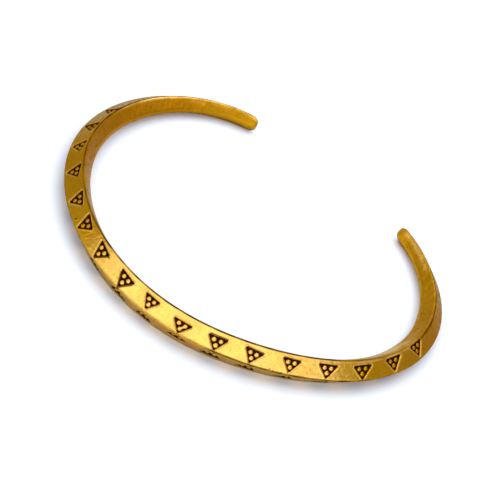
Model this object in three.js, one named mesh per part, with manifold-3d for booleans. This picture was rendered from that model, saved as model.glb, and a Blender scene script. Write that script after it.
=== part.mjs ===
// A slim open arm ring, forged in one piece from a brass bar, lying on its side. The bar is a kite
// in section: a ridge outside at mid-height, a top and a bottom edge, and a rounded crown inside.
// It is tallest at the back and tapers to two blunt tips with the mouth between them. Both outer
// faces carry a row of struck triangles, three pellets in each. +X is the ring's width, -Y its
// back, +Y its mouth and +Z up. The origin is the middle of the footprint, on the resting plane.

import * as THREE from 'three';
import { mergeVertices } from 'three/addons/utils/BufferGeometryUtils.js';
import Module from 'manifold-3d';

// ---- Driving dimensions, in millimetres and degrees ----

const BAR_LENGTH = 163.4; // along the outer ridge, from tip to tip
const BAR_HEIGHT = 6; // at the back, from the resting plane to the top edge
const BAR_DEPTH = 3.8; // at the back, from the outer ridge to the crown inside
const EDGE_INSET = 1.7; // how far inside the outer ridge the top edge lies
const TIP_ROUND = 1.5; // how far the rounding of a tip reaches along the bar
const TIP_BLUNT = 24; // angle at which that rounding starts, so that the tip ends bluntly

// The bar in equal steps along the outer ridge: the radius of its bend in mm, and its height and
// depth as shares of those at the back. It was bent by hand, so its two sides differ a little.
const BAR_STATIONS = [
  { place: 'left tip', bend: 19.5, height: 0.52, depth: 0.54 },
  { place: 'left arm', bend: 24.5, height: 0.6, depth: 1.02 },
  { place: 'left bend', bend: 29.5, height: 0.82, depth: 1.12 },
  { place: 'left of back', bend: 31.5, height: 0.96, depth: 1.11 },
  { place: 'back', bend: 31, height: 1, depth: 1 },
  { place: 'right of back', bend: 42, height: 0.96, depth: 1.11 },
  { place: 'right bend', bend: 28, height: 0.82, depth: 1.12 },
  { place: 'right arm', bend: 22.5, height: 0.6, depth: 1.02 },
  { place: 'right tip', bend: 25.5, height: 0.52, depth: 0.54 },
];

// How far each rounding of the section reaches along its faces, and what it takes off the corner.
const RIDGE_ROUND = 0.28;
const TOP_ROUND = 0.32;
const TOP_TRIM = 0.135;
const BOTTOM_TRIM = 0.3; // taken off the bottom edge by its level land
const CROWN_ROUND = 1.3;
const CROWN_TRIM = 0.17;
const ROUND_STEPS = { ridge: 2, top: 4, crown: 5 };

// The struck triangles. The flat side lies along the top or bottom edge, the point at the ridge.
const PUNCH_DEPTH = 0.32;
const PELLET_RADIUS = 0.37;
const PELLET_HEIGHT = 0.27; // how far a pellet stands up from the floor of its triangle
const PELLET_SPREAD = 0.33; // between the two beside the flat side, as a share of its width
const PELLET_EDGE_GAP = 0.25; // from the flat side to those two, as a share of the reach
const PELLET_POINT_GAP = 0.43; // from the point to the third, as a share of the reach
const PELLET_SIDES = 8;
const PELLET_RINGS = 6;
const STRIKE_ROOM = 1; // how far the punch tool stands out of the face

// Each blow of the hand-held punch: where it fell along the bar from the middle of the back, how
// far it is turned, how far it sits from the middle of the face towards the edge, and the width
// of its flat side and reach to its point. The lower face repeats the upper one.
const BLOWS = [
  { at: -50.9, turn: -12, shift: 0.15, width: 2.55, reach: 2.3 },
  { at: -44.5, turn: -12, shift: 0.1, width: 2.7, reach: 2.5 },
  { at: -38.3, turn: -11, shift: 0.1, width: 2.75, reach: 2.45 },
  { at: -31.65, turn: -9, shift: 0.05, width: 2.85, reach: 2.5 },
  { at: -24.95, turn: -11, shift: -0.05, width: 2.85, reach: 2.45 },
  { at: -19.5, turn: -13, shift: -0.15, width: 2.95, reach: 2.5 },
  { at: -13.55, turn: -9, shift: -0.3, width: 3.15, reach: 2.6 },
  { at: -7, turn: -7, shift: -0.35, width: 3.3, reach: 2.5 },
  { at: -1.3, turn: -3, shift: -0.25, width: 3, reach: 2.35 },
  { at: 4.8, turn: 0, shift: -0.45, width: 3.5, reach: 2.3 },
  { at: 11, turn: 1, shift: -0.4, width: 3.5, reach: 2.35 },
  { at: 17.1, turn: -8, shift: -0.35, width: 3.3, reach: 2.35 },
  { at: 23.5, turn: -4, shift: -0.2, width: 3.3, reach: 2.3 },
  { at: 30.05, turn: -4, shift: -0.25, width: 3.45, reach: 2.4 },
  { at: 36.5, turn: -1, shift: -0.3, width: 3.5, reach: 2.2 },
  { at: 43.1, turn: -1, shift: -0.05, width: 3.4, reach: 2.25 },
  { at: 49.7, turn: -3, shift: 0.1, width: 3.05, reach: 2.2 },
];
const UPPER_FACE = 1;
const LOWER_FACE = -1;

const SPINE_STEPS = 640; // about a quarter of a millimetre each
const BODY_STEPS = 92; // of the bar's faces, between its rounded tips
const TIP_STEPS = 4;
const CURVE_TENSION = 0.5; // of the smooth curve through the stations
const MERGE_DISTANCE = 1e-4;

const BRASS = { color: 0xc9962b, roughness: 0.32, metalness: 1 };

// ---- The bar's course and size ----

const stationCurve = new THREE.CatmullRomCurve3(
  BAR_STATIONS.map((row) => new THREE.Vector3(row.bend, row.height, row.depth)),
  false,
  'catmullrom',
  CURVE_TENSION,
);

// The bend, height and depth at a distance along the ridge from the middle of the back.
function profileAt(along) {
  const { x, y, z } = stationCurve.getPoint(along / BAR_LENGTH + 0.5);
  return { bend: x, height: y, depth: z };
}

// Walks along the outer ridge in short straight steps, and sets the middle step at the origin.
function traceSpine() {
  const step = BAR_LENGTH / SPINE_STEPS;
  const frames = [{ x: 0, y: 0, heading: 0 }];
  for (let i = 0; i < SPINE_STEPS; i += 1) {
    const last = frames[i];
    const turn = step / profileAt((i + 0.5) * step - BAR_LENGTH / 2).bend;
    const course = last.heading + turn / 2;
    frames.push({
      x: last.x + step * Math.cos(course),
      y: last.y + step * Math.sin(course),
      heading: last.heading + turn,
    });
  }
  const middle = frames[SPINE_STEPS / 2];
  const swing = new THREE.Matrix4().makeRotationZ(-middle.heading);
  return frames.map((frame) => {
    const point = new THREE.Vector3(frame.x - middle.x, frame.y - middle.y, 0).applyMatrix4(swing);
    return { point, heading: frame.heading - middle.heading };
  });
}
const spine = traceSpine();

// The point, the outward and forward directions and the size of the bar at a distance along it.
function barAt(along) {
  const place = THREE.MathUtils.clamp((along / BAR_LENGTH + 0.5) * SPINE_STEPS, 0, SPINE_STEPS);
  const index = Math.min(Math.floor(place), SPINE_STEPS - 1);
  const share = place - index;
  const [before, after] = [spine[index], spine[index + 1]];
  const heading = THREE.MathUtils.lerp(before.heading, after.heading, share);
  return {
    ...profileAt(along),
    ridge: before.point.clone().lerp(after.point, share),
    outward: new THREE.Vector3(Math.sin(heading), -Math.cos(heading), 0),
    forward: new THREE.Vector3(Math.cos(heading), Math.sin(heading), 0),
  };
}

// A point of the full-size section, out from the ridge and up from mid-height, set in its place.
function placeOnBar(along, out, up) {
  const bar = barAt(along);
  const point = bar.ridge.addScaledVector(bar.outward, out * bar.depth);
  point.z = (up + BAR_HEIGHT / 2) * bar.height;
  return point;
}

// ---- The bar ----

// The kite, drawn outwards along x and upwards along y, with its ridge at the origin.
function sectionShape() {
  const slope = EDGE_INSET / (BAR_HEIGHT / 2);
  const height = BAR_HEIGHT / 2 + TOP_TRIM;
  const depth = BAR_HEIGHT / 2 + BOTTOM_TRIM;
  const ridge = new THREE.Vector2(0, 0);
  const top = new THREE.Vector2(-slope * height, height);
  const crown = new THREE.Vector2(-BAR_DEPTH - CROWN_TRIM, 0);
  const bottom = new THREE.Vector2(-slope * depth, -depth);
  const toLand = BOTTOM_TRIM / depth;

  const section = [];
  const addRound = (from, corner, to, size, steps) => {
    const start = corner.clone().add(from.clone().sub(corner).setLength(size));
    const end = corner.clone().add(to.clone().sub(corner).setLength(size));
    section.push(...new THREE.QuadraticBezierCurve(start, corner, end).getPoints(steps));
  };
  section.push(bottom.clone().lerp(ridge, toLand));
  addRound(bottom, ridge, top, RIDGE_ROUND, ROUND_STEPS.ridge);
  addRound(ridge, top, crown, TOP_ROUND, ROUND_STEPS.top);
  addRound(top, crown, bottom, CROWN_ROUND, ROUND_STEPS.crown);
  section.push(bottom.clone().lerp(crown, toLand));
  return new THREE.Shape(section);
}

// Where a step of the bar lies along it, from the right tip to the left one, and how much its
// rounded tip has narrowed there.
function stepAlong(step) {
  const lastStep = BODY_STEPS + 2 * TIP_STEPS;
  const fromTip = Math.min(step, lastStep - step);
  const side = step < lastStep / 2 ? 1 : -1;
  const blunt = THREE.MathUtils.degToRad(TIP_BLUNT);
  const angle = THREE.MathUtils.lerp(blunt, Math.PI / 2, Math.min(fromTip / TIP_STEPS, 1));
  if (fromTip <= TIP_STEPS) {
    const inset = TIP_ROUND * (Math.cos(blunt) - Math.cos(angle));
    return { along: side * (BAR_LENGTH / 2 - inset), narrowed: Math.sin(angle) };
  }
  const bodyHalf = BAR_LENGTH / 2 - TIP_ROUND * Math.cos(blunt);
  const share = (fromTip - TIP_STEPS) / (BODY_STEPS / 2);
  return { along: side * bodyHalf * (1 - share), narrowed: 1 };
}

// A straight bar of the section, then laid along the ring's course, tapered and rounded.
function makeBar() {
  const steps = BODY_STEPS + 2 * TIP_STEPS;
  const geometry = new THREE.ExtrudeGeometry(sectionShape(), {
    depth: steps,
    steps,
    bevelEnabled: false,
  });
  const position = geometry.getAttribute('position');
  for (let i = 0; i < position.count; i += 1) {
    const { along, narrowed } = stepAlong(Math.round(position.getZ(i)));
    const middle = -BAR_DEPTH / 2;
    const out = middle + (position.getX(i) - middle) * narrowed;
    const placed = placeOnBar(along, out, position.getY(i) * narrowed);
    position.setXYZ(i, placed.x, placed.y, placed.z);
  }
  return geometry;
}

// ---- The struck triangles ----

// The outer face at one blow: x forward along the bar, y from the ridge to the edge, z outward.
function faceMatrix(along, shift, face) {
  const ridge = placeOnBar(along, 0, 0);
  const edge = placeOnBar(along, -EDGE_INSET, (face * BAR_HEIGHT) / 2);
  const slope = edge.clone().sub(ridge).normalize();
  const forward = barAt(along).forward.multiplyScalar(face);
  const normal = new THREE.Vector3().crossVectors(forward, slope);
  const middle = ridge.lerp(edge, 0.5).addScaledVector(slope, shift);
  return new THREE.Matrix4().makeBasis(forward, slope, normal).setPosition(middle);
}

// The punch's triangle, sunk to its depth under z = 0 at the face, with its point towards -y.
function makeTriangle(width, reach) {
  const triangle = new THREE.Shape([
    new THREE.Vector2(width / 2, reach / 2),
    new THREE.Vector2(-width / 2, reach / 2),
    new THREE.Vector2(0, -reach / 2),
  ]);
  const depth = PUNCH_DEPTH + STRIKE_ROOM;
  const geometry = new THREE.ExtrudeGeometry(triangle, { depth, bevelEnabled: false });
  return geometry.translate(0, 0, -PUNCH_DEPTH);
}

function makePellet(x, y) {
  const geometry = new THREE.SphereGeometry(PELLET_RADIUS, PELLET_SIDES, PELLET_RINGS);
  geometry.rotateX(Math.PI / 2);
  geometry.scale(1, 1, PELLET_HEIGHT / PELLET_RADIUS);
  return geometry.translate(x, y, -PUNCH_DEPTH);
}

// ---- Joining and cutting ----

const wasm = await Module();
wasm.setup();

function toSolid(geometry) {
  const bare = geometry.clone();
  bare.deleteAttribute('normal');
  bare.deleteAttribute('uv');
  const merged = mergeVertices(bare, MERGE_DISTANCE);
  return new wasm.Manifold(
    new wasm.Mesh({
      numProp: 3,
      vertProperties: merged.getAttribute('position').array,
      triVerts: new Uint32Array(merged.index.array),
    }),
  );
}

function toGeometry(solid) {
  const mesh = solid.getMesh();
  const geometry = new THREE.BufferGeometry();
  geometry.setAttribute('position', new THREE.BufferAttribute(mesh.vertProperties, 3));
  geometry.setIndex(new THREE.BufferAttribute(mesh.triVerts, 1));
  geometry.computeVertexNormals();
  return geometry;
}

// The metal that one blow takes out: the triangle without its three pellets.
function makeBite(width, reach) {
  const besideMiddle = (PELLET_SPREAD * width) / 2;
  const nearFlat = reach / 2 - PELLET_EDGE_GAP * reach;
  const nearPoint = PELLET_POINT_GAP * reach - reach / 2;
  let bite = toSolid(makeTriangle(width, reach));
  for (const [x, y] of [
    [-besideMiddle, nearFlat],
    [besideMiddle, nearFlat],
    [0, nearPoint],
  ]) {
    bite = bite.subtract(toSolid(makePellet(x, y)));
  }
  return toGeometry(bite);
}

function makeArmRing() {
  let ring = toSolid(makeBar());
  for (const { at, turn, shift, width, reach } of BLOWS) {
    const bite = makeBite(width, reach).rotateZ(THREE.MathUtils.degToRad(turn));
    for (const face of [UPPER_FACE, LOWER_FACE]) {
      const struck = bite.clone().applyMatrix4(faceMatrix(at, shift, face));
      ring = ring.subtract(toSolid(struck));
    }
  }
  const geometry = toGeometry(ring);
  geometry.computeBoundingBox();
  const middle = geometry.boundingBox.getCenter(new THREE.Vector3());
  return geometry.translate(-middle.x, -middle.y, 0);
}

const armRing = new THREE.Mesh(makeArmRing(), new THREE.MeshStandardMaterial(BRASS));
armRing.name = 'arm_ring';

const part = new THREE.Group();
part.add(armRing);

export default part;
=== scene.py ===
"""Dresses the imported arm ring: a hand-forged, punched and antiqued brass cuff on a pale floor."""

import math
import random

import bmesh
import bpy
import numpy as np
from mathutils import Matrix, Vector, noise


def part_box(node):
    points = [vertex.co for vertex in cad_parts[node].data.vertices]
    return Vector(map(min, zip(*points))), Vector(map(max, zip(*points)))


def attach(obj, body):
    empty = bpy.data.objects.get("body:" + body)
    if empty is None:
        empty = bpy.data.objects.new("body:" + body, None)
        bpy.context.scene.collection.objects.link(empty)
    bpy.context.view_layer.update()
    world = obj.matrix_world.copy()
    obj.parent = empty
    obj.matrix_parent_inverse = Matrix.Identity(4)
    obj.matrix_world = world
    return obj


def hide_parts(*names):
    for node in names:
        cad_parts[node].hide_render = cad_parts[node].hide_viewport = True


bl_info = {
    "name": "Arm Ring",
    "version": (1, 0, 0),
    "blender": (4, 5, 0),
    "location": "View3D > Sidebar > Arm Ring",
    "description": "Forges, punches and antiques a brass arm ring and sets it on a pale floor",
    "category": "Object",
}

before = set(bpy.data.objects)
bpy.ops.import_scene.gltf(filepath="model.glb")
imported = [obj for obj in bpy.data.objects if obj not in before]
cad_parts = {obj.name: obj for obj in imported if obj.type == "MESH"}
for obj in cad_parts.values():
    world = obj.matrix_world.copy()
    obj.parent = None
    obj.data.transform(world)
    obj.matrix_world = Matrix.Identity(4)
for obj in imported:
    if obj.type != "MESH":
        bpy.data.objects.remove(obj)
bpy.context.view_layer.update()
RING_NODE = "arm_ring"
BODY = "root"
MM = 0.001
MERGE = 0.002 * MM

# ---- The bar, in millimetres and degrees: its course and sharp section are the solid's ----

BAR_LENGTH = 163.4  # along the outer ridge, from tip to tip
BAR_HEIGHT = 6.0  # at the back
BAR_DEPTH = 3.8  # at the back, from the outer ridge to the crown inside
EDGE_INSET = 1.7  # how far inside the outer ridge the top and bottom edges lie
TOP_TRIM = 0.135  # taken off the sharp top edge by its rounding
BOTTOM_TRIM = 0.3  # taken off the sharp bottom edge by its level land
CROWN_TRIM = 0.17  # taken off the sharp crown by its rounding
OUTER_SIDE = math.hypot(EDGE_INSET, BAR_HEIGHT / 2)  # from the ridge to an edge, over the face

# Equal steps along the ridge, from the left tip to the right one.
BAR_STATIONS = np.array(
    [  # bend radius, height share, depth share
        (19.5, 0.52, 0.54),
        (24.5, 0.60, 1.02),
        (29.5, 0.82, 1.12),
        (31.5, 0.96, 1.11),
        (31.0, 1.00, 1.00),
        (42.0, 0.96, 1.11),
        (28.0, 0.82, 1.12),
        (22.5, 0.60, 1.02),
        (25.5, 0.52, 0.54),
    ]
)
SPINE_STEPS = 640

# What the hammer left uneven, which the solid hasn't: places along the bar, and how far the ridge
# stands out there, the top edge lies in and the crown reaches in.
UNEVEN_PLACES = np.array(
    [  # along, ridge out, edge in, crown in
        (-76, 0.00, 0.00, 0.00),
        (-62, 0.00, 0.10, 0.16),
        (-56, 0.00, 0.25, 0.26),
        (-50, 0.08, 0.35, 0.24),
        (-44, 0.18, 0.37, 0.22),
        (-40, 0.21, 0.34, 0.17),
        (-36, 0.22, 0.31, 0.15),
        (-30, 0.19, 0.30, 0.06),
        (-25, 0.18, 0.20, 0.02),
        (-20, 0.17, 0.03, 0.00),
        (-12, 0.05, 0.00, 0.00),
        (-6, 0.00, 0.00, 0.00),
        (28, 0.05, 0.00, 0.00),
        (34, 0.18, 0.00, -0.10),
        (40, 0.24, 0.08, -0.12),
        (48, 0.23, 0.32, 0.14),
        (54, 0.20, 0.40, 0.20),
        (60, 0.17, 0.18, 0.29),
        (66, 0.10, 0.00, 0.21),
        (72, 0.00, 0.00, 0.12),
        (78, 0.00, 0.00, 0.00),
    ]
)

# The kite's corners: how far each is rounded along its sides, and in how many steps. The solid's
# are rounded a little more or less.
RIDGE_ROUND, RIDGE_STEPS = 0.36, 4
TOP_ROUND, TOP_STEPS = 0.27, 5
CROWN_ROUND, CROWN_STEPS = 1.11, 6
LAND_CUT = 0.35  # the level land along the bottom edge
LAND_ROUND, LAND_STEPS = 0.07, 2
UPPER_ROWS, LOWER_ROWS, INNER_ROWS = 40, 24, 6  # of faces, over each outer face and inner one

TIP_ROUND = 1.6  # how far the rounding of a tip reaches along the bar
TIP_FULLNESS = 2.4  # 2 is an ellipse, more is blunter

# ---- The marks ----

# Each blow of the punch on the upper face: where it fell along the bar from the middle of the
# back, its turn, its shift from the middle of the face towards the edge, the width and reach of
# its mark, and how far a second, lighter strike slipped from the first, along and across.
BLOWS = (
    # at, turn, shift, width, reach, slip along, slip across
    (-50.9, -12, 0.05, 2.55, 2.05, 0, 0),
    (-44.5, -12, -0.12, 2.70, 2.25, 0, 0),
    (-38.4, -11, -0.15, 2.95, 2.20, 0, 0),
    (-31.75, -9, -0.12, 3.05, 2.35, 0, 0),
    (-25.05, -11, -0.15, 3.05, 2.50, 0, 0),
    (-19.55, -13, -0.20, 3.05, 2.65, 0, 0),
    (-13.55, -9, -0.32, 3.20, 2.65, 0.28, -0.05),
    (-7.05, -7, -0.37, 3.40, 2.55, 0.05, -0.42),
    (-1.4, -3, -0.25, 3.00, 2.35, 0, 0),
    (4.85, 0, -0.65, 3.55, 2.10, 0, 0),
    (11.0, 1, -0.43, 3.50, 2.35, 0.06, 0.32),
    (17.1, -8, -0.35, 3.38, 2.35, 0.06, 0.26),
    (23.6, -4, -0.20, 3.30, 2.30, 0, 0.18),
    (30.05, -4, -0.25, 3.60, 2.40, 0, 0),
    (36.6, -1, -0.30, 3.60, 2.25, 0, 0),
    (43.36, -1, -0.04, 3.55, 2.28, 0, 0),
    (50.0, -3, 0.14, 3.45, 2.25, 0, 0),
)
JOINED_AT = 4.85  # the blow that ran two of its pellets together
UPPER_FACE, LOWER_FACE = 1, -1
RIDGE_CLEARANCE = 0.05  # a blow leaves this much of the ridge alone
EDGE_REACH = 0.3  # and goes this far over the edge
PUNCH_DEPTH = 0.32
PUNCH_CORNER = 0.16  # rounding of the triangle's corners
RIM_WIDTH, RIM_DEPTH = 0.17, 0.12  # the clean sloping rim outside the triangle
WALL_WIDTH = 0.15
SLIP_DEPTH, SLIP_WALL = 0.09, 0.08  # of a second strike
SLIP_TONE = 0.6  # how dark it is, as a share of the patina
PELLET_RADIUS = 0.4
PELLET_SPREAD = 0.33  # between the two beside the flat side, as a share of its width
PELLET_EDGE_GAP = 0.265  # from the flat side to those two, as a share of the reach
PELLET_POINT_GAP = 0.385  # from the point to the third, as a share of the reach
PELLET_JITTER = 0.025
BRIDGE_RADIUS = 0.24  # of the metal between two joined pellets
BURR_OFFSET, BURR_WIDTH = 0.24, 0.07
PELLET_BARE_FROM, PELLET_BARE = 0.3, 0.6  # heights of a pellet between which it is rubbed bare
WALL_FADE = (-0.03, 0.05)  # the patina fades between these distances inside a triangle's outline
SEED = 17

# Small dents: place along the bar, distance from the ridge round the section (towards the top
# edge, and on past it over the inner face), length, width, turn and depth.
NICKS = (
    # along, around, length, width, turn, depth
    (-21.3, 0.75, 0.75, 0.30, 60, 0.14),
    (-13.2, 0.00, 0.50, 0.30, 60, 0.14),
    (20.3, 0.40, 0.35, 0.22, 50, 0.10),
    (20.9, 0.20, 0.30, 0.22, 20, 0.10),
    (22.2, 0.18, 0.45, 0.22, 10, 0.12),
    (26.4, 0.12, 0.40, 0.20, 0, 0.10),
    (33.6, 0.70, 0.80, 0.14, 35, 0.04),
    (-52.0, 3.50, 0.60, 0.25, 90, 0.10),
    (57.6, 5.60, 0.35, 0.16, 20, 0.05),
    (-16.9, 1.30, 1.40, 0.13, 52, 0.035),
    (-16.2, 1.90, 1.10, 0.12, 60, 0.03),
    (-17.3, 0.90, 0.90, 0.12, 48, 0.03),
    (-16.0, 1.10, 0.80, 0.12, -35, 0.03),
    (34.0, 1.30, 0.60, 0.14, 40, 0.04),
    (32.8, 1.80, 0.50, 0.14, 70, 0.035),
    (-17.6, 1.60, 0.90, 0.12, 58, 0.04),
    (-15.4, 0.55, 0.70, 0.12, 48, 0.035),
    (69.5, 3.90, 0.30, 0.20, 90, 0.05),
)
NICK_TONE, NICK_DARKEST = 8, 0.8  # the patina in a nick, for each millimetre of depth, and at most
NICK_FADE = (0.35, 0.9)  # shares of its depth between which the patina sets in

# The hammered unevenness, as the share and the scale of each of its waves.
HAMMER_WAVES = ((0.75, 0.22), (0.25, 0.9))

# How the brass toned, and where shade is painted on it: places along the bar, how deep the golden
# tone is outside and inside there, partly painted shade, how far painted shade dims the outside and
# the inside, how dark the painted shade lines along the ridge and the edges are, and how far
# outside the edge the latter lies.
TONES = np.array(
    [  # along, deep outside, inside, painted shade outside, inside, ridge shade line, edge shade line, line outside
        (-82, 0.2, 0.0, 0.00, 0.25, 0.3, 1.00, -0.14),
        (-72, 0.3, 0.3, 0.00, 0.35, 0.3, 1.00, -0.14),
        (-64, 0.4, 0.7, 0.00, 0.30, 0.3, 0.90, -0.10),
        (-56, 0.4, 1.0, 0.00, 0.22, 0.3, 0.80, 0.00),
        (-48, 0.4, 1.0, 0.00, 0.15, 0.3, 0.75, 0.00),
        (-41, 0.3, 1.0, 0.20, 0.08, 0.3, 0.60, 0.00),
        (-35, 0.2, 0.8, 0.31, 0.04, 0.3, 0.50, 0.00),
        (-28, 0.1, 0.7, 0.30, 0.00, 0.3, 0.45, 0.00),
        (-22, 0.0, 0.5, 0.27, 0.00, 0.3, 0.50, 0.00),
        (-16, 0.0, 0.5, 0.05, 0.00, 0.3, 0.70, 0.00),
        (5, 0.0, 0.4, 0.00, 0.00, 0.3, 0.80, 0.00),
        (12, 0.0, 0.4, 0.00, 0.00, 0.9, 0.80, 0.00),
        (34, 0.0, 0.3, 0.00, 0.00, 0.9, 0.80, 0.00),
        (40, 0.2, 0.1, 0.20, 0.00, 0.4, 0.80, 0.00),
        (46, 0.5, 0.3, 0.22, 0.00, 0.3, 0.60, 0.05),
        (53, 0.9, 0.5, 0.24, 0.03, 0.3, 0.65, 0.45),
        (57, 1.0, 0.5, 0.20, 0.08, 0.3, 0.65, 0.40),
        (64, 0.8, 0.4, 0.00, 0.12, 0.3, 0.80, 0.10),
        (82, 0.3, 0.3, 0.00, 0.10, 0.3, 0.80, 0.00),
    ]
)
BRIGHT_FROM, BRIGHT_TO, BRIGHT_FADE = -15.5, 33.0, 6.0  # where wear and a painted sheen keep the outside bright
BRIGHT_BELOW, BRIGHT_ABOVE = 0.08, 0.38  # it grows between these distances above the ridge
LOWER_BRIGHTNESS = 0.65  # its share under the ridge
INSIDE_FADE = (-0.1, 0.2)  # the outside's tones pass into the inside's over the edge
EDGE_SHADE_LINE, RIDGE_SHADE_LINE = 0.18, 0.24  # half widths of the painted shade lines along the edges and the ridge
FLOW_ALONG, FLOW_AROUND, LINE_FLOW = 0.5, 0.7, 0.6  # scales of the lines' unevenness, and its share

# Blows before RUBBED_FROM and all the lower ones are stained and not rubbed. The upper ones outside
# WORN_BLOWS are on the arms, where the patina is darker.
RUBBED_FROM = -41.0
STAINED_BURR = 0.3  # height of a stained blow's burr, as a share of the others'
STAIN, STAIN_KEPT = 0.10, 0.22  # how far its patina spreads, and the share left on its pellets
WORN_BLOWS = (-16.0, 33.0)
ARM_STAIN, ARM_DARKER = 0.04, 0.5  # how far the patina spreads there, and how much darker it is
BURR_WEAR = 0.7  # how bright the burrs of the rubbed blows are
LOWER_SHIFT = 0.15  # how much closer to their edge the lower blows fell

# Painted highlights: patches and lines painted bright on the brass: place along the bar, distance
# from the ridge round the section, length, width and strength.
PAINTED_HIGHLIGHTS = (
    # along, around, length, width, strength
    (-67.0, 3.76, 29.0, 0.38, 1.60),
    (-76.5, 4.20, 9.0, 0.90, 0.40),
    (-80.2, 3.95, 2.6, 0.80, 1.00),
    (-69.5, 4.35, 4.0, 0.90, 0.50),
    (75.8, 4.40, 9.0, 1.20, 1.00),
    (36.0, 3.12, 27.0, 0.36, 1.20),
    (42.5, 5.20, 17.0, 3.40, 0.80),
    (-29.0, 6.00, 15.0, 2.40, 0.60),
)

# Columns of faces along the bar: fine where it is marked, coarse between.
FINE_STEP, COARSE_STEP = 0.086, 0.6
TRIES = 4  # places looked at for each fine step, to share the columns out
PUNCH_ROOM = 0.25  # fine stretch past each end of a blow
NICK_ROOM = 0.5  # on each side of a nick's middle
TIP_ROOM = 1.7  # from a tip inwards
UNROLLED_UNIT = 10.0  # millimetres to one unit of the unrolled bar's coordinates

# ---- Sizes and colours that a user would change ----


class ArmRingShape(bpy.types.PropertyGroup):
    """How the metal was worked."""

    unevenness: bpy.props.FloatProperty(
        name="Unevenness",
        description="Depth of the hammered unevenness of the faces",
        default=0.03 * MM,
        min=0.0,
        unit="LENGTH",
    )
    burr: bpy.props.FloatProperty(
        name="Burr",
        description="Height of the metal pushed up round each struck triangle",
        default=0.05 * MM,
        min=0.0,
        unit="LENGTH",
    )
    pellet_height: bpy.props.FloatProperty(
        name="Pellet height",
        description="Height of a pellet over the floor of its triangle",
        default=0.28 * MM,
        min=0.0,
        unit="LENGTH",
    )


class ArmRingFinish(bpy.types.PropertyGroup):
    """The colours of the antiqued brass."""

    # Also the colour of the painted sheen on the back and of the painted highlights.
    wear_and_painted_sheen: bpy.props.FloatVectorProperty(
        name="Worn brass",
        description="Colour of the brass where wear keeps it bright",
        subtype="COLOR",
        default=(0.88, 0.51, 0.115),
        min=0.0,
        max=1.0,
    )
    golden: bpy.props.FloatVectorProperty(
        name="Golden brass",
        description="Colour of the faces under their thin brown tone",
        subtype="COLOR",
        default=(0.56, 0.285, 0.006),
        min=0.0,
        max=1.0,
    )
    # This colour also serves as painted shade on the darker faces of the arms.
    deep_tone_and_painted_shade: bpy.props.FloatVectorProperty(
        name="Deep brass",
        description="Colour of the faces where they have toned the most",
        subtype="COLOR",
        default=(0.5, 0.2, 0.003),
        min=0.0,
        max=1.0,
    )
    # Also the colour of the painted shade lines and of the painted shade on the arms.
    patina_and_painted_shade: bpy.props.FloatVectorProperty(
        name="Patina",
        description="Colour of the dark patina in the struck marks",
        subtype="COLOR",
        default=(0.028, 0.006, 0.001),
        min=0.0,
        max=1.0,
    )
    grazing: bpy.props.FloatVectorProperty(
        name="Grazing tint",
        description="How much the thin tone takes from what the brass mirrors at a low angle",
        subtype="COLOR",
        default=(0.58, 0.67, 0.68),
        min=0.0,
        max=1.0,
    )
    scratch_depth: bpy.props.FloatProperty(
        name="Scratch depth",
        description="Strength of the fine scratches",
        default=0.25,
        min=0.0,
        max=1.0,
        subtype="FACTOR",
    )


class ArmRingStage(bpy.types.PropertyGroup):
    """The floor, the lights and the camera."""

    floor_colour: bpy.props.FloatVectorProperty(
        name="Floor",
        description="Colour of the floor",
        subtype="COLOR",
        default=(0.82, 0.87, 0.95),
        min=0.0,
        max=1.0,
    )
    room_colour: bpy.props.FloatVectorProperty(
        name="Room",
        description="Colour of the light that comes from all sides",
        subtype="COLOR",
        default=(0.515, 0.535, 0.58),
        min=0.0,
        max=1.0,
    )
    azimuth: bpy.props.FloatProperty(
        name="Azimuth",
        description="Camera's turn round the ring, from the back towards the right arm",
        subtype="ANGLE",
        default=math.radians(12.15),
    )
    elevation: bpy.props.FloatProperty(
        name="Elevation",
        description="Camera's height over the floor",
        subtype="ANGLE",
        default=math.radians(41.24),
    )
    roll: bpy.props.FloatProperty(
        name="Roll",
        description="Camera's turn about its line of sight",
        subtype="ANGLE",
        default=math.radians(27.7),
    )
    distance: bpy.props.FloatProperty(
        name="Distance",
        description="From the camera to the middle of the ring's footprint",
        default=0.5363,
        min=0.1,
        unit="LENGTH",
    )


# ---- The bar's course ----


def profile_at(along):
    """Bend radius, height share and depth share at places along the ridge."""
    last = len(BAR_STATIONS) - 1
    place = np.clip(along / BAR_LENGTH + 0.5, 0, 1) * last
    index = np.minimum(place.astype(int), last - 1)
    t = (place - index)[:, None]
    before = 2 * BAR_STATIONS[0] - BAR_STATIONS[1]
    after = 2 * BAR_STATIONS[-1] - BAR_STATIONS[-2]
    rows = np.vstack([before, BAR_STATIONS, after])
    p0, p1, p2, p3 = (rows[index + k] for k in range(4))
    slope1, slope2 = (p2 - p0) / 2, (p3 - p1) / 2
    cubic = 2 * (p1 - p2) + slope1 + slope2
    square = 3 * (p2 - p1) - 2 * slope1 - slope2
    return ((cubic * t + square) * t + slope1) * t + p1


def trace_spine():
    """The ridge's places and headings in equal steps, with the middle of the back at the origin."""
    step = BAR_LENGTH / SPINE_STEPS
    middles = (np.arange(SPINE_STEPS) + 0.5) * step - BAR_LENGTH / 2
    turns = step / profile_at(middles)[:, 0]
    headings = np.concatenate([[0], np.cumsum(turns)])
    headings -= headings[SPINE_STEPS // 2]
    courses = headings[:-1] + turns / 2
    x = np.concatenate([[0], np.cumsum(step * np.cos(courses))])
    y = np.concatenate([[0], np.cumsum(step * np.sin(courses))])
    back = SPINE_STEPS // 2
    return x - x[back], y - y[back], headings


SPINE_X, SPINE_Y, SPINE_HEADING = trace_spine()
SPINE_ALONG = np.linspace(-BAR_LENGTH / 2, BAR_LENGTH / 2, SPINE_STEPS + 1)


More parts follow.
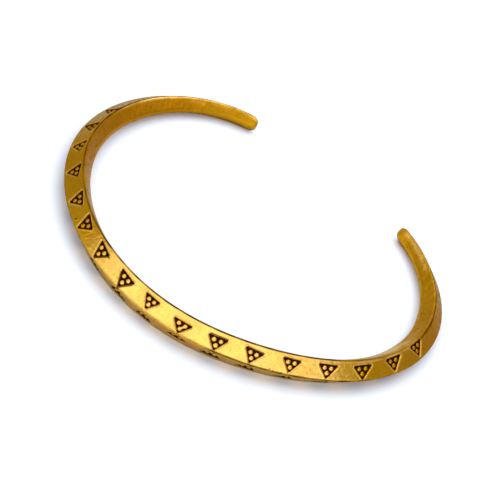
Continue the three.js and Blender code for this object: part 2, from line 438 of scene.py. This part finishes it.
def bar_at(along):
    """Ridge point, outward and forward directions and profile at places along the bar."""
    along = np.atleast_1d(np.asarray(along, dtype=float))
    heading = np.interp(along, SPINE_ALONG, SPINE_HEADING)
    zero = np.zeros_like(heading)
    x, y = np.interp(along, SPINE_ALONG, SPINE_X), np.interp(along, SPINE_ALONG, SPINE_Y)
    ridge = np.stack([x, y, zero], axis=1)
    outward = np.stack([np.sin(heading), -np.cos(heading), zero], axis=1)
    forward = np.stack([np.cos(heading), np.sin(heading), zero], axis=1)
    return ridge, outward, forward, profile_at(along)


def place_on_bar(along, out, up):
    """Points of the full-size section, out from the ridge and up from mid-height, set in place."""
    ridge, outward, _, profile = bar_at(along)
    points = ridge + outward * (out * profile[:, 2] + uneven_out(along, out, up))[:, None]
    points[:, 2] = (up + BAR_HEIGHT / 2) * profile[:, 1]
    return points


def uneven_out(along, out, up):
    """How far the hammer's unevenness sets points of the section out."""
    places, *moves = UNEVEN_PLACES.T
    ridge, edge, crown = (np.interp(along, places, move) for move in moves)
    share = np.clip(np.abs(up) / (BAR_HEIGHT / 2), 0, 1)
    return (1 - share) * np.where(out > -EDGE_INSET, ridge, -crown) - share * edge * (up > 0)


def around_section(out, up):
    """Distance from the ridge round the full-size section, negative below the ridge."""
    outside = np.minimum(np.hypot(out, up), OUTER_SIDE)
    over_edge = OUTER_SIDE + np.hypot(out + EDGE_INSET, np.abs(up) - BAR_HEIGHT / 2)
    return np.where(out > -EDGE_INSET, outside, over_edge) * np.sign(up)


# ---- Building the bar ----


def kite_corners():
    """The section's four sharp corners: ridge, top, crown and bottom, as out and up."""
    half = BAR_HEIGHT / 2
    slope = EDGE_INSET / half
    top, bottom = half + TOP_TRIM, half + BOTTOM_TRIM
    return (0, 0), (-slope * top, top), (-BAR_DEPTH - CROWN_TRIM, 0), (-slope * bottom, -bottom)


def round_corner(bm, corners, offset, segments):
    """Rounds corners of the flat section and returns the new vertices."""
    made = bmesh.ops.bevel(
        bm,
        geom=corners,
        offset=offset,
        offset_type="OFFSET",
        segments=segments,
        profile=0.5,
        affect="VERTICES",
        material=-1,
    )
    return made["verts"]


def draw_section(bm):
    """The kite as one face, its corners rounded and its sides cut into rows."""
    ridge, top, crown, bottom = [bm.verts.new((0, out, up)) for out, up in kite_corners()]
    bm.faces.new((ridge, top, crown, bottom))
    round_corner(bm, [ridge], RIDGE_ROUND, RIDGE_STEPS)
    round_corner(bm, [top], TOP_ROUND, TOP_STEPS)
    round_corner(bm, [crown], CROWN_ROUND, CROWN_STEPS)
    land = round_corner(bm, [bottom], LAND_CUT, 1)
    round_corner(bm, land, LAND_ROUND, LAND_STEPS)
    sides = [edge for edge in bm.edges if edge.calc_length() > CROWN_ROUND]
    for edge in sides:
        outside = max(vert.co.y for vert in edge.verts) > -EDGE_INSET / 2
        upper = sum(vert.co.z for vert in edge.verts) > 0
        rows = (UPPER_ROWS if upper else LOWER_ROWS) if outside else INNER_ROWS
        bmesh.ops.subdivide_edges(bm, edges=[edge], cuts=rows - 1)


def column_places():
    """Places of the columns along the bar, close together at the marks and the tips."""
    half = BAR_LENGTH / 2
    places = np.linspace(-half, half, round(BAR_LENGTH / FINE_STEP) * TRIES)
    fine = np.abs(places) > half - TIP_ROOM
    for at, _, _, width, *_ in BLOWS:
        fine |= np.abs(places - at) < width / 2 + PUNCH_ROOM
    for at, *_ in NICKS:
        fine |= np.abs(places - at) < NICK_ROOM
    count = np.cumsum((places[1] - places[0]) / np.where(fine, FINE_STEP, COARSE_STEP))
    return np.interp(np.linspace(count[0], count[-1], round(count[-1])), count, places)


def draw_bar(bm, columns):
    """The section drawn out into a straight bar, one unit of x for each column."""
    draw_section(bm)
    section = list(bm.faces)
    drawn = bmesh.ops.extrude_face_region(bm, geom=section)["geom"]
    far_end = [item for item in drawn if isinstance(item, bmesh.types.BMVert)]
    bmesh.ops.translate(bm, verts=far_end, vec=(columns, 0, 0))
    ends = [face for face in bm.faces if len(face.verts) > 4]
    bmesh.ops.delete(bm, geom=ends, context="FACES_ONLY")
    lengthwise = [e for e in bm.edges if abs(e.verts[0].co.x - e.verts[1].co.x) > columns / 2]
    bmesh.ops.subdivide_edges(bm, edges=lengthwise, cuts=columns - 1, use_grid_fill=True)


def narrowed_at(along):
    """How much the rounded tips have narrowed the section, from 0 at the very tip to 1."""
    into = np.clip((BAR_LENGTH / 2 - np.abs(along)) / TIP_ROUND, 0, 1)
    return np.maximum(1 - (1 - into) ** TIP_FULLNESS, 0) ** (1 / TIP_FULLNESS)


# ---- Marks ----


def smooth_step(low, high, value):
    """0 below low, 1 above high and smooth between."""
    t = np.clip((value - low) / (high - low), 0, 1)
    return t * t * (3 - 2 * t)


def bell(value, half_width):
    """1 at nought, falling smoothly on both sides."""
    return np.exp(-((value / half_width) ** 2))


def turned_by(turn, u, v):
    """Coordinates along and across a mark that is turned by this many degrees."""
    c, s = math.cos(math.radians(turn)), math.sin(math.radians(turn))
    return u * c + v * s, v * c - u * s


def face_basis(along, shift, face):
    """Middle of one outer face at a blow, and its forward, edgeward and outward directions."""
    ridge = place_on_bar(along, np.array([0.0]), np.array([0.0]))[0]
    edge = place_on_bar(along, np.array([-EDGE_INSET]), np.array([face * BAR_HEIGHT / 2]))[0]
    slope = (edge - ridge) / np.linalg.norm(edge - ridge)
    forward = bar_at(along)[2][0] * face
    return (ridge + edge) / 2 + slope * shift, forward, slope, np.cross(forward, slope)


def triangle_distance(x, y, width, reach):
    """Distance outside the round-cornered triangle with its point to -y, negative inside."""
    corners = np.array([(width / 2, reach / 2), (-width / 2, reach / 2), (0, -reach / 2)])
    sides = np.roll(corners, -1, axis=0) - corners
    lengths = np.hypot(*sides.T)
    opposite = np.roll(lengths, -1)
    middle = (corners * opposite[:, None]).sum(axis=0) / lengths.sum()
    inner_radius = width * reach / lengths.sum()
    corners = middle + (corners - middle) * (1 - PUNCH_CORNER / inner_radius)
    nearest, deepest = np.full_like(x, np.inf), np.full_like(x, -np.inf)
    for (cx, cy), (ax, ay) in zip(corners, np.roll(corners, -1, axis=0)):
        run_x, run_y = ax - cx, ay - cy
        length = math.hypot(run_x, run_y)
        share = np.clip(((x - cx) * run_x + (y - cy) * run_y) / length**2, 0, 1)
        nearest = np.minimum(nearest, np.hypot(x - cx - share * run_x, y - cy - share * run_y))
        deepest = np.maximum(deepest, ((x - cx) * run_y - (y - cy) * run_x) / length)
    return np.where(deepest > 0, nearest, deepest) - PUNCH_CORNER


def dome(x, y, radius):
    """A round dome of height 1 about the origin."""
    return np.sqrt(np.clip(1 - (x**2 + y**2) / radius**2, 0, 1))


def pellet_domes(x, y, width, reach, joined, rng):
    """Height of the three pellets over the triangle's floor, as a share of their full height."""
    beside = width * PELLET_SPREAD / 2
    near_flat = reach * (0.5 - PELLET_EDGE_GAP)
    near_point = reach * (PELLET_POINT_GAP - 0.5)
    centres = [(-beside, near_flat), (beside, near_flat), (0, near_point)]
    domes = np.zeros_like(x)
    for cx, cy in centres:
        cx += rng.uniform(-PELLET_JITTER, PELLET_JITTER)
        cy += rng.uniform(-PELLET_JITTER, PELLET_JITTER)
        radius = PELLET_RADIUS + rng.uniform(-PELLET_JITTER, PELLET_JITTER)
        domes = np.maximum(domes, dome(x - cx, y - cy, radius))
    if joined:
        start, end = np.array(centres[1]), np.array(centres[2])
        run = end - start
        share = np.clip(((x - start[0]) * run[0] + (y - start[1]) * run[1]) / (run @ run), 0, 1)
        bridge = dome(x - start[0] - share * run[0], y - start[1] - share * run[1], BRIDGE_RADIUS)
        domes = np.maximum(domes, bridge)
    return domes


class Bar:
    """The bar's points in millimetres, and what the marks did to them."""

    def __init__(self, along, out, up):
        self.along = along
        self.narrowed = narrowed_at(along)
        self.around = around_section(out, up)
        middle = -BAR_DEPTH / 2
        out, up = middle + (out - middle) * self.narrowed, up * self.narrowed
        self.points = place_on_bar(along, out, up)
        self.recess = np.zeros_like(along)
        self.polished = np.zeros_like(along)

    def darken(self, near, amount):
        """Leaves patina on these points, where they have less."""
        self.recess[near] = np.maximum(self.recess[near], amount)

    def strike(self, blow, face, shape, rng):
        """One blow of the punch: a triangle with three pellets, and the burr around it."""
        at, turn, shift, width, reach, slip_along, slip_across = blow
        beside = np.abs(self.around)
        on_face = (self.around * face > RIDGE_CLEARANCE) & (beside < OUTER_SIDE + EDGE_REACH)
        near = np.flatnonzero((np.abs(self.along - at) < width) & on_face)
        shift += LOWER_SHIFT if face == LOWER_FACE else 0
        middle, forward, slope, normal = face_basis(at, shift, face)
        local = self.points[near] - middle
        level = local @ normal
        x, y = turned_by(turn, local @ forward, local @ slope)
        distance = triangle_distance(x, y, width, reach)
        slipped = triangle_distance(x - slip_along, y - slip_across, width, reach)
        twice = bool(slip_along or slip_across)
        grazed = smooth_step(0, SLIP_WALL, -slipped) * (distance > 0) * twice
        domes = pellet_domes(x, y, width, reach, at == JOINED_AT, rng)
        stained = face == LOWER_FACE or at < RUBBED_FROM

        rim = RIM_DEPTH * np.clip(1 - distance / RIM_WIDTH, 0, 1)
        struck = np.clip(-distance / WALL_WIDTH, 0, 1)
        floor = np.minimum(-PUNCH_DEPTH + shape.pellet_height / MM * domes, level)
        sunk = (level - np.maximum(rim, SLIP_DEPTH * grazed)) * (1 - struck) + floor * struck
        burr = shape.burr / MM * (STAINED_BURR if stained else 1)
        raised = burr * bell(distance - BURR_OFFSET, BURR_WIDTH)
        self.points[near] += normal * (sunk - level + raised)[:, None]
        self.tone_blow(near, at, stained, distance, domes)
        self.darken(near, SLIP_TONE * grazed)

    def tone_blow(self, near, at, stained, distance, domes):
        """Leaves patina in a triangle, and rubs its pellets and its burr where it isn't stained."""
        on_arm = not WORN_BLOWS[0] < at < WORN_BLOWS[1]
        stain, kept = (STAIN, STAIN_KEPT) if stained else (ARM_STAIN * on_arm, 0)
        bared = (1 - kept) * smooth_step(PELLET_BARE_FROM, PELLET_BARE, domes)
        self.darken(near, smooth_step(*WALL_FADE, stain - distance) * (1 - bared))
        if not stained:
            rubbed = BURR_WEAR * bell(distance - BURR_OFFSET, 2 * BURR_WIDTH)
            self.polished[near] = np.maximum(self.polished[near], rubbed)

    def nick(self, at, around, length, width, turn, depth, normals):
        """A small dent with a dark bottom."""
        u, v = self.along - at, self.around - around
        near = np.flatnonzero((np.abs(u) < length) & (np.abs(v) < length))
        x, y = turned_by(turn, u[near], v[near])
        dent = bell(x, length / 2) * bell(y, width / 2)
        self.points[near] -= normals[near] * (depth * dent)[:, None]
        self.darken(near, min(NICK_TONE * depth, NICK_DARKEST) * smooth_step(*NICK_FADE, dent))


def forge_bar(shape):
    """The ring's mesh: a straight bar bent, struck, nicked and closed at its tips."""
    places = column_places()
    columns = len(places) - 1
    bm = bmesh.new()
    draw_bar(bm, columns)
    straight = np.array([vert.co for vert in bm.verts])
    along = np.interp(straight[:, 0], np.arange(columns + 1), places)
    bar = Bar(along, straight[:, 1], straight[:, 2])
    low, high = bar.points.min(axis=0), bar.points.max(axis=0)

    lay(bm, bar.points)
    bmesh.ops.recalc_face_normals(bm, faces=bm.faces)
    bm.normal_update()
    normals = np.array([vert.normal for vert in bm.verts])

    dents = hammer_marks(bar.points, shape.unevenness / MM)
    bar.points -= normals * (dents * bar.narrowed)[:, None]
    rng = random.Random(SEED)
    for face in (UPPER_FACE, LOWER_FACE):
        for blow in BLOWS:
            bar.strike(blow, face, shape, rng)
    for nick in NICKS:
        bar.nick(*nick, normals)
    bar.points[:, 2] = np.maximum(bar.points[:, 2], low[2])

    box_low, box_high = (np.array(corner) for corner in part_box(RING_NODE))
    shift = (box_low + box_high) / 2 - (low + high) / 2 * MM
    shift[2] = box_low[2] - low[2] * MM
    lay(bm, bar.points * MM + shift)
    paint(bm, bar)
    bmesh.ops.remove_doubles(bm, verts=bm.verts, dist=MERGE)
    bmesh.ops.recalc_face_normals(bm, faces=bm.faces)
    for face in bm.faces:
        face.smooth = True
    mesh = bpy.data.meshes.new("arm_ring_forged")
    bm.to_mesh(mesh)
    bm.free()
    return mesh


def lay(bm, points):
    """Moves the bar's vertices to these points."""
    for vert, point in zip(bm.verts, points):
        vert.co = point


def hammer_marks(points, depth):
    """How deep the hammering left each point under the even surface."""
    waves = [
        sum(share * noise.noise(Vector(point * scale)) for share, scale in HAMMER_WAVES)
        for point in points
    ]
    return depth * (0.5 + 0.5 * np.array(waves))


def tones_on(bar):
    """Share of the patina and painted shade, of the bright worn brass and painted sheen and
    highlights, and of the deep tone and painted shade at each point.
    """
    flow = np.array(
        [
            noise.noise(Vector((FLOW_ALONG * along, FLOW_AROUND * around, 3.0)))
            for along, around in zip(bar.along, bar.around)
        ]
    )
    over_edge = np.abs(bar.around) - OUTER_SIDE
    inside = smooth_step(*INSIDE_FADE, over_edge)
    places, *tones = TONES.T
    deep_and_painted_shade_outside, deep_and_painted_shade_inside, painted_shade_outside, painted_shade_inside, ridge_shade_line, edge_shade_line, line_out = (
        np.interp(bar.along, places, tone) for tone in tones
    )
    # Painted shade: dark lines along the top and bottom edges and along the ridge.
    edge = edge_shade_line * bell(over_edge + line_out, EDGE_SHADE_LINE)
    ridge = ridge_shade_line * bell(bar.around, RIDGE_SHADE_LINE)
    lines = np.clip((edge + ridge) * (1 + LINE_FLOW * flow), 0, 1)
    # Painted shade that darkens the outer and inner faces along parts of the arms.
    painted_shade = painted_shade_outside * (1 - inside) + painted_shade_inside * inside
    # The deep tone is partly the brass's uneven toning and partly painted shade on the darker faces
    # of the arms.
    deep_tone_and_painted_shade = deep_and_painted_shade_outside * (1 - inside) + deep_and_painted_shade_inside * inside
    # Wear mixed with painted sheen: the outside of the back is kept bright, the upper face more
    # than the lower.
    wear_and_painted_sheen = smooth_step(BRIGHT_FROM - BRIGHT_FADE, BRIGHT_FROM + BRIGHT_FADE, bar.along) * (
        1 - smooth_step(BRIGHT_TO - BRIGHT_FADE, BRIGHT_TO + BRIGHT_FADE, bar.along)
    )
    struck = np.clip(bar.recess * (1 + ARM_DARKER * (1 - wear_and_painted_sheen)), 0, 1)
    # This holds the real patina of the struck marks and also the painted shade lines and the
    # painted shade that dims the arms.
    patina_and_painted_shade = 1 - (1 - struck) * (1 - lines) * (1 - painted_shade)
    upper = smooth_step(BRIGHT_BELOW, BRIGHT_ABOVE, bar.around)
    wear_and_painted_sheen = wear_and_painted_sheen * (1 - inside) * (LOWER_BRIGHTNESS + (1 - LOWER_BRIGHTNESS) * upper)
    # Painted highlights: bright lines along the top edges, glints at the tips and sheen on the
    # inner faces.
    for at, around, length, width, strength in PAINTED_HIGHLIGHTS:
        x, y = (bar.along - at) / (length / 2), (bar.around - around) / (width / 2)
        rubbed = np.clip(strength * np.exp(-(x**4 + y**2)) * (1 + flow), 0, 1)
        wear_and_painted_sheen = np.maximum(wear_and_painted_sheen, rubbed)
        patina_and_painted_shade = patina_and_painted_shade * (1 - rubbed * (1 - bar.recess))
    wear_and_painted_sheen = np.maximum(wear_and_painted_sheen, bar.polished)
    return {"patina_and_painted_shade": patina_and_painted_shade, "wear_and_painted_sheen": wear_and_painted_sheen, "deep_tone_and_painted_shade": deep_tone_and_painted_shade}


def paint(bm, bar):
    """Keeps the tones and the bar's own coordinates on the mesh, for its material."""
    for name, amounts in tones_on(bar).items():
        layer = bm.verts.layers.float.new(name)
        for vert, amount in zip(bm.verts, amounts):
            vert[layer] = amount
    unrolled = bm.loops.layers.uv.new("unrolled")
    bm.verts.index_update()
    all_round = 2 * np.abs(bar.around).max()
    for face in bm.faces:
        corners = [vert.index for vert in face.verts]
        crosses_seam = np.ptp(bar.around[corners]) > all_round / 2
        for loop in face.loops:
            i = loop.vert.index
            around = bar.around[i] + (all_round if crosses_seam and bar.around[i] < 0 else 0)
            loop[unrolled].uv = (bar.along[i] / UNROLLED_UNIT, around / UNROLLED_UNIT)


# ---- The finish ----


class Finish:
    """Adds and links the nodes of one material."""

    def __init__(self, name):
        self.material = bpy.data.materials.new(name)
        self.material.use_nodes = True
        self.tree = self.material.node_tree
        self.tree.nodes.clear()
        self.shader = self.node("ShaderNodeBsdfPrincipled")
        output = self.node("ShaderNodeOutputMaterial")
        self.link(self.shader.outputs["BSDF"], output.inputs["Surface"])

    def node(self, kind, inputs=None, **settings):
        """A node with its settings and inputs, which are values or other nodes' sockets."""
        made = self.tree.nodes.new(kind)
        for key, value in settings.items():
            setattr(made, key, value)
        for key, value in (inputs or {}).items():
            if isinstance(value, bpy.types.NodeSocket):
                self.link(value, made.inputs[key])
            else:
                made.inputs[key].default_value = value
        return made

    def link(self, start, end):
        self.tree.links.new(start, end)

    def shade(self, **sockets):
        """Sets or links the shader's own sockets, named with underscores for spaces."""
        for name, value in sockets.items():
            socket = self.shader.inputs[name.replace("_", " ")]
            if isinstance(value, bpy.types.NodeSocket):
                self.link(value, socket)
            else:
                socket.default_value = value

    def noise(self, place, scale, detail=3.0, roughness=0.55):
        """A noise pattern from 0 to 1."""
        made = self.node(
            "ShaderNodeTexNoise",
            {"Vector": place, "Scale": scale, "Detail": detail, "Roughness": roughness},
        )
        return made.outputs["Fac"]

    def ramp(self, value, low, high, to_low=0.0, to_high=1.0):
        """A value carried smoothly from one range to another, and held outside it."""
        inputs = {"Value": value, "From Min": low, "From Max": high}
        inputs |= {"To Min": to_low, "To Max": to_high}
        made = self.node("ShaderNodeMapRange", inputs, interpolation_type="SMOOTHSTEP")
        return made.outputs["Result"]

    def math(self, operation, first, second=0.5):
        made = self.node("ShaderNodeMath", {0: first, 1: second}, operation=operation)
        return made.outputs["Value"]

    def mix(self, share, first, second):
        """One colour over another."""
        made = self.node("ShaderNodeMix", data_type="RGBA")
        for index, value in ((0, share), (6, first), (7, second)):
            if isinstance(value, bpy.types.NodeSocket):
                self.link(value, made.inputs[index])
            else:
                made.inputs[index].default_value = value
        return made.outputs[2]

    def patches(self, place, scale, detail, low, high, most):
        """Soft patches of a noise pattern, from 0 up to their most."""
        return self.math("MULTIPLY", self.ramp(self.noise(place, scale, detail), low, high), most)

    def turned(self, place, scale, turn=0.0):
        """Coordinates turned about Z and stretched."""
        made = self.node(
            "ShaderNodeMapping",
            {"Vector": place, "Rotation": (0, 0, math.radians(turn)), "Scale": scale},
        )
        return made.outputs["Vector"]

    def bump(self, height, strength, distance, normal=None):
        inputs = {"Height": height, "Strength": strength, "Distance": distance}
        if normal is not None:
            inputs["Normal"] = normal
        return self.node("ShaderNodeBump", inputs).outputs["Normal"]


# Uneven patches of the finish: the scale and detail of their pattern, the values between which they
# set in, and how strong they are at most.
CLOUDS = (170.0, 3.0, 0.3, 0.75, 0.4)  # of the deep tone
SPECKS = (2600.0, 3.0, 0.5, 0.72, 0.5)  # of the golden tone on the worn and sheen-painted brass
MOTTLES = (1500.0, 4.0, 0.48, 0.68, 0.34)  # of patina where the brass is neither worn nor painted with sheen
CLOUDS_OVER_BRIGHT = 0.8
PATINA_FROM, PATINA_FULL = 0.05, 0.85  # the attribute's patina and painted shade, between which the dark colour sets in
PATINA_COVER = 0.8  # how much of the metal's mirroring the patina takes away
PATINA_ROUGHNESS = 0.2  # what the patina adds to the roughness
GLOSS_SCALE, GLOSS_FROM, GLOSS_TO = 300.0, 0.3, 0.7
SMOOTHEST, ROUGHEST = 0.3, 0.42

# The relief: scales of the patterns, and depths.
PIT_SCALE, HAMMER_SCALE = 1700.0, 420.0
TONED_PITS, BRIGHT_PITS, HAMMER_DEPTH = 0.17 * MM, 0.1 * MM, 0.35 * MM
SCRATCH_DEPTH = 0.02 * MM
SCRATCH_SCALE, SCRATCH_FADE = 3.0, 0.08
GRAIN_STRETCH, GRAIN_SCALE, GRAIN_SHARE = (4, 90, 1), 6.0, 0.3

# Directions of the fine scratches on the unrolled bar: turn, stretch along and across, and the
# noise value above which a scratch shows.
SCRATCH_SETS = (
    # turn, along, across, threshold
    (0, 1.2, 60, 0.60),
    (38, 2.0, 45, 0.66),
    (-52, 2.4, 50, 0.67),
)


def antiqued_brass(colours):
    """Polished brass under a thin uneven brown tone and painted shade, with painted sheen and
    highlights where it is bright, and dark patina where it is struck.
    """
    finish = Finish("antiqued_brass")
    place = finish.node("ShaderNodeTexCoord").outputs["Object"]
    patina_and_painted_shade, wear_and_painted_sheen, deep_tone_and_painted_shade = (
        finish.node("ShaderNodeAttribute", attribute_name=name).outputs["Fac"]
        for name in ("patina_and_painted_shade", "wear_and_painted_sheen", "deep_tone_and_painted_shade")
    )

    clouds = finish.patches(place, *CLOUDS)
    specks = finish.patches(place, *SPECKS)
    # The deep tone here is partly uneven toning and partly painted shade.
    toned = finish.mix(finish.math("ADD", deep_tone_and_painted_shade, clouds), (*colours.golden, 1), (*colours.deep_tone_and_painted_shade, 1))
    # The bright brass is partly wear and partly painted sheen and painted highlights.
    rubbed = finish.math("SUBTRACT", wear_and_painted_sheen, finish.math("MULTIPLY", clouds, CLOUDS_OVER_BRIGHT))
    brass = finish.mix(finish.math("SUBTRACT", rubbed, specks), toned, (*colours.wear_and_painted_sheen, 1))
    mottled = finish.patches(place, *MOTTLES)
    kept = finish.math("MULTIPLY", mottled, finish.math("SUBTRACT", 1.0, wear_and_painted_sheen))
    # The dark share is patina and also painted shade.
    dark = finish.math("MAXIMUM", finish.ramp(patina_and_painted_shade, PATINA_FROM, PATINA_FULL), kept)
    colour = finish.mix(dark, brass, (*colours.patina_and_painted_shade, 1))

    smooth = finish.noise(place, GLOSS_SCALE)
    gloss = finish.ramp(smooth, GLOSS_FROM, GLOSS_TO, SMOOTHEST, ROUGHEST)
    gloss = finish.math("ADD", gloss, finish.math("MULTIPLY", dark, PATINA_ROUGHNESS))
    bare = finish.math("SUBTRACT", 1.0, finish.math("MULTIPLY", dark, PATINA_COVER))
    relief = worked_relief(finish, place, wear_and_painted_sheen, colours.scratch_depth)
    finish.shade(Base_Color=colour, Metallic=bare, Roughness=gloss, Normal=relief)
    finish.shade(Specular_IOR_Level=0.0)
    finish.shade(Specular_Tint=finish.mix(dark, (*colours.grazing, 1), (*colours.patina_and_painted_shade, 1)))
    return finish.material


def worked_relief(finish, place, wear_and_painted_sheen, strength):
    """The fine scratches and grain, the pits and the soft hammered waves, one over the other."""
    unrolled = finish.node("ShaderNodeUVMap", uv_map="unrolled").outputs["UV"]
    scratches = None
    for turn, along, across, threshold in SCRATCH_SETS:
        pattern = finish.noise(
            finish.turned(unrolled, (along, across, 1), turn), SCRATCH_SCALE, detail=2.0
        )
        lines = finish.ramp(pattern, threshold, threshold + SCRATCH_FADE)
        scratches = lines if scratches is None else finish.math("MAXIMUM", scratches, lines)
    grain = finish.noise(finish.turned(unrolled, GRAIN_STRETCH), GRAIN_SCALE, detail=2.0)
    grooved = finish.math("SUBTRACT", finish.math("MULTIPLY", grain, GRAIN_SHARE), scratches)
    scratched = finish.bump(grooved, strength, SCRATCH_DEPTH)
    pits = finish.ramp(wear_and_painted_sheen, 0.0, 1.0, TONED_PITS, BRIGHT_PITS)
    pitted = finish.bump(finish.noise(place, PIT_SCALE), 0.5, pits, scratched)
    return finish.bump(finish.noise(place, HAMMER_SCALE, detail=2.0), 0.5, HAMMER_DEPTH, pitted)


CARD_SCALE, CARD_SHADE, CARD_ROUGHNESS = 40.0, 0.985, 0.9


def pale_floor(colour):
    """Matt pale card with the faintest unevenness."""
    finish = Finish("pale_floor")
    place = finish.node("ShaderNodeTexCoord").outputs["Object"]
    shade = finish.ramp(finish.noise(place, CARD_SCALE), 0.3, 0.7)
    darker = tuple(CARD_SHADE * channel for channel in colour)
    card = finish.mix(shade, (*colour, 1), (*darker, 1))
    finish.shade(Base_Color=card, Roughness=CARD_ROUGHNESS)
    return finish.material


# ---- Operators ----


class ARMRING_OT_set_stage(bpy.types.Operator):
    """Lays the pale floor, hangs the soft lights and sets up the camera"""

    bl_idname = "arm_ring.set_stage"
    bl_label = "Set the stage"

    def execute(self, context):
        stage = context.scene.arm_ring_stage
        lay_floor(stage)
        light_room(stage)
        for light in LIGHTS:
            hang_light(*light)
        set_camera(stage)
        return {"FINISHED"}


class ARMRING_OT_forge_ring(bpy.types.Operator):
    """Forges, punches and antiques the ring in place of its plain solid"""

    bl_idname = "arm_ring.forge_ring"
    bl_label = "Forge the ring"

    def execute(self, context):
        mesh = forge_bar(context.scene.arm_ring_shape)
        mesh.materials.append(antiqued_brass(context.scene.arm_ring_finish))
        ring = bpy.data.objects.new("arm_ring_forged", mesh)
        context.scene.collection.objects.link(ring)
        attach(ring, BODY)
        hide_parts(RING_NODE)
        return {"FINISHED"}


class ARMRING_PT_panel(bpy.types.Panel):
    """The ring's operators and settings"""

    bl_idname = "ARMRING_PT_panel"
    bl_label = "Arm Ring"
    bl_space_type = "VIEW_3D"
    bl_region_type = "UI"
    bl_category = "Arm Ring"

    def draw(self, context):
        for operator in OPERATORS:
            self.layout.operator(operator.bl_idname)
        for group in SETTINGS:
            settings = getattr(context.scene, group)
            box = self.layout.box()
            for name in settings.__annotations__:
                box.prop(settings, name)


# ---- The stage ----

FLOOR_RADIUS, FLOOR_SIDES = 4.0, 96

# Soft lights, all facing the ring. Their turn goes from the back of the ring towards its right arm,
# and their angle up from the floor.
LOW_SOFTBOX = (18, 0.45, 0.35, 0.23, 1.62, (0.975, 0.985, 1.0))
LIGHTS = (
    # name, turn, angle up, distance, width, height, brightness, colour
    ("left_softbox", -31, *LOW_SOFTBOX),
    ("front_softbox", 10, *LOW_SOFTBOX),
    ("right_softbox", 51, *LOW_SOFTBOX),
    ("overhead_softbox", -170, 80, 0.22, 0.32, 0.32, 1.9, (0.97, 0.985, 1.0)),
)

LENS, SENSOR = 241.0, 36.0  # in millimetres
NEAREST, FARTHEST = 0.01, 20.0  # what the camera sees lies between these distances
AIM_RIGHT, AIM_UP = 1.275 * MM, 0.739 * MM  # from the middle of the footprint to the camera's aim


def lay_floor(stage):
    """A wide round floor at the height of the ring's land."""
    bm = bmesh.new()
    bmesh.ops.create_circle(bm, cap_ends=True, segments=FLOOR_SIDES, radius=FLOOR_RADIUS)
    bmesh.ops.translate(bm, verts=bm.verts, vec=(0, 0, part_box(RING_NODE)[0].z))
    mesh = bpy.data.meshes.new("floor")
    bm.to_mesh(mesh)
    bm.free()
    mesh.materials.append(pale_floor(stage.floor_colour))
    floor = bpy.data.objects.new("floor", mesh)
    bpy.context.scene.collection.objects.link(floor)


def light_room(stage):
    """Even light from all sides."""
    world = bpy.data.worlds.new("room")
    world.use_nodes = True
    background = world.node_tree.nodes["Background"]
    background.inputs["Color"].default_value = (*stage.room_colour, 1)
    bpy.context.scene.world = world
    bpy.context.scene.view_settings.view_transform = "Standard"


def hang_light(name, turn, angle_up, distance, width, height, brightness, colour):
    """One rectangular panel of light that faces the middle of the ring."""
    data = bpy.data.lights.new(name, "AREA")
    data.shape = "RECTANGLE"
    data.size, data.size_y = width, height
    data.energy = brightness * math.pi * width * height
    data.color = colour
    azimuth, elevation = math.radians(turn), math.radians(angle_up)
    level = math.cos(elevation)
    towards = Vector((math.sin(azimuth) * level, -math.cos(azimuth) * level, math.sin(elevation)))
    light = bpy.data.objects.new(name, data)
    light.location = towards * distance
    light.rotation_euler = (-towards).to_track_quat("-Z", "Y").to_euler()
    light.visible_camera = False
    bpy.context.scene.collection.objects.link(light)


def set_camera(stage):
    """A long lens at the stage's angles, turned about its line of sight."""
    tilt = Matrix.Rotation(math.pi / 2 - stage.elevation, 3, "X")
    look = Matrix.Rotation(stage.azimuth, 3, "Z") @ tilt @ Matrix.Rotation(stage.roll, 3, "Z")
    right, up, back = look.col
    data = bpy.data.cameras.new("camera")
    data.sensor_width = SENSOR
    data.lens = LENS
    data.clip_start, data.clip_end = NEAREST, FARTHEST
    camera = bpy.data.objects.new("camera", data)
    place = back * stage.distance + right * AIM_RIGHT + up * AIM_UP
    camera.matrix_world = Matrix.Translation(place) @ look.to_4x4()
    bpy.context.scene.collection.objects.link(camera)
    bpy.context.scene.camera = camera


OPERATORS = (ARMRING_OT_set_stage, ARMRING_OT_forge_ring)
CLASSES = (ArmRingShape, ArmRingFinish, ArmRingStage, *OPERATORS, ARMRING_PT_panel)
SETTINGS = {
    "arm_ring_shape": ArmRingShape,
    "arm_ring_finish": ArmRingFinish,
    "arm_ring_stage": ArmRingStage,
}


def register():
    for item in CLASSES:
        bpy.utils.register_class(item)
    for name, group in SETTINGS.items():
        setattr(bpy.types.Scene, name, bpy.props.PointerProperty(type=group))


def unregister():
    for name in SETTINGS:
        delattr(bpy.types.Scene, name)
    for item in reversed(CLASSES):
        bpy.utils.unregister_class(item)


def main():
    register()
    bpy.ops.arm_ring.set_stage()
    bpy.ops.arm_ring.forge_ring()


if __name__ == "__main__":
    main()
